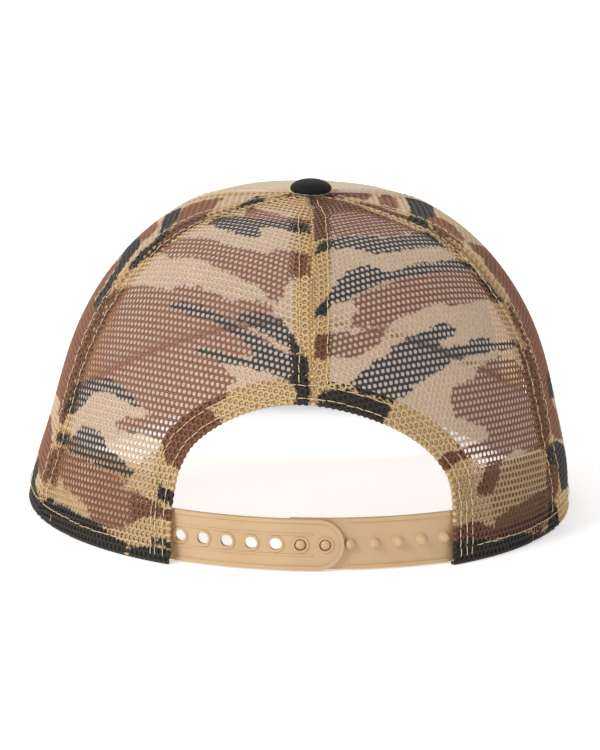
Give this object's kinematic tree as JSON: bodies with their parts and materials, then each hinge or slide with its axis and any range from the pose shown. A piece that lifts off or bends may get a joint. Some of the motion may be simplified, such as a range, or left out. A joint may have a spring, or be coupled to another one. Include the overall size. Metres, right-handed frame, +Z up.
{
  "type": "trucker cap",
  "caption": "Structured cap with a solid front, open-mesh camouflage back, stiff visor and an adjustable two-strap peg closure under a half-dome rear opening.",
  "frame": {"origin": "centre of the rim, in the plane the cap rests on", "axes": "+Z up through the crown; the visor points along -Y, the strap closure is at +Y, the wearer's left is +X"},
  "size_m": [0.1881, 0.2607, 0.1133],
  "materials": {
    "camo_mesh": "open polyester mesh, matte",
    "hem_mesh": "folded mesh, matte",
    "seam_tape": "woven tape, matte",
    "front_cloth": "cotton twill, matte",
    "backing_cloth": "non-woven backing, matte",
    "sweatband_cloth": "brushed cotton, matte",
    "visor_stiffener": "moulded sheet, matte",
    "visor_cloth": "cotton twill, matte",
    "button_metal": "pressed, satin",
    "button_cloth": "cotton twill, matte",
    "strap_plastic": "moulded, satin",
    "thread": "twisted polyester",
    "visor_thread": "twisted polyester"
  },
  "bodies": {
    "cap": {"rear_panel_left": "camo_mesh", "rear_panel_right": "camo_mesh", "side_panel_left": "camo_mesh", "side_panel_right": "camo_mesh", "arch_hem": "hem_mesh", "rim_hem_left": "hem_mesh", "rim_hem_right": "hem_mesh", "side_seam_tape_left": "seam_tape", "side_seam_tape_right": "seam_tape", "rear_seam_tape": "seam_tape", "front_seam_tape_left": "seam_tape", "front_seam_tape_right": "seam_tape", "front_panel": "front_cloth", "front_backing": "backing_cloth", "sweatband": "sweatband_cloth", "visor_board": "visor_stiffener", "visor_top_cover": "visor_cloth", "visor_under_cover": "visor_cloth", "button_shell": "button_metal", "button_back": "button_metal", "button_cover": "button_cloth", "strap_left_tab": "strap_plastic", "strap_right_tab": "strap_plastic", "rear_stitch_left": "thread", "rear_stitch_right": "thread", "side_stitch_left_rear": "thread", "side_stitch_left_front": "thread", "side_stitch_right_rear": "thread", "side_stitch_right_front": "thread", "front_stitch_left": "thread", "front_stitch_right": "thread", "arch_stitch_inner": "thread", "arch_stitch_outer": "thread", "rim_stitch_left": "thread", "rim_stitch_right": "thread", "visor_stitch_1": "visor_thread", "visor_stitch_2": "visor_thread", "visor_stitch_3": "visor_thread", "visor_stitch_4": "visor_thread"},
    "left_strap": {"strap_left": "strap_plastic"},
    "right_strap": {"strap_right": "strap_plastic"}
  },
  "joints": [
    {"name": "left_strap_hinge", "type": "hinge", "parent": "cap", "child": "left_strap", "pos_m": [0.0463, 0.0803, 0.009], "axis": [0, 0, -1], "range_deg": [0, 40]},
    {"name": "right_strap_hinge", "type": "hinge", "parent": "cap", "child": "right_strap", "pos_m": [-0.0463, 0.0788, 0.009], "axis": [0, 0, -1], "range_deg": [0, 25]}
  ]
}
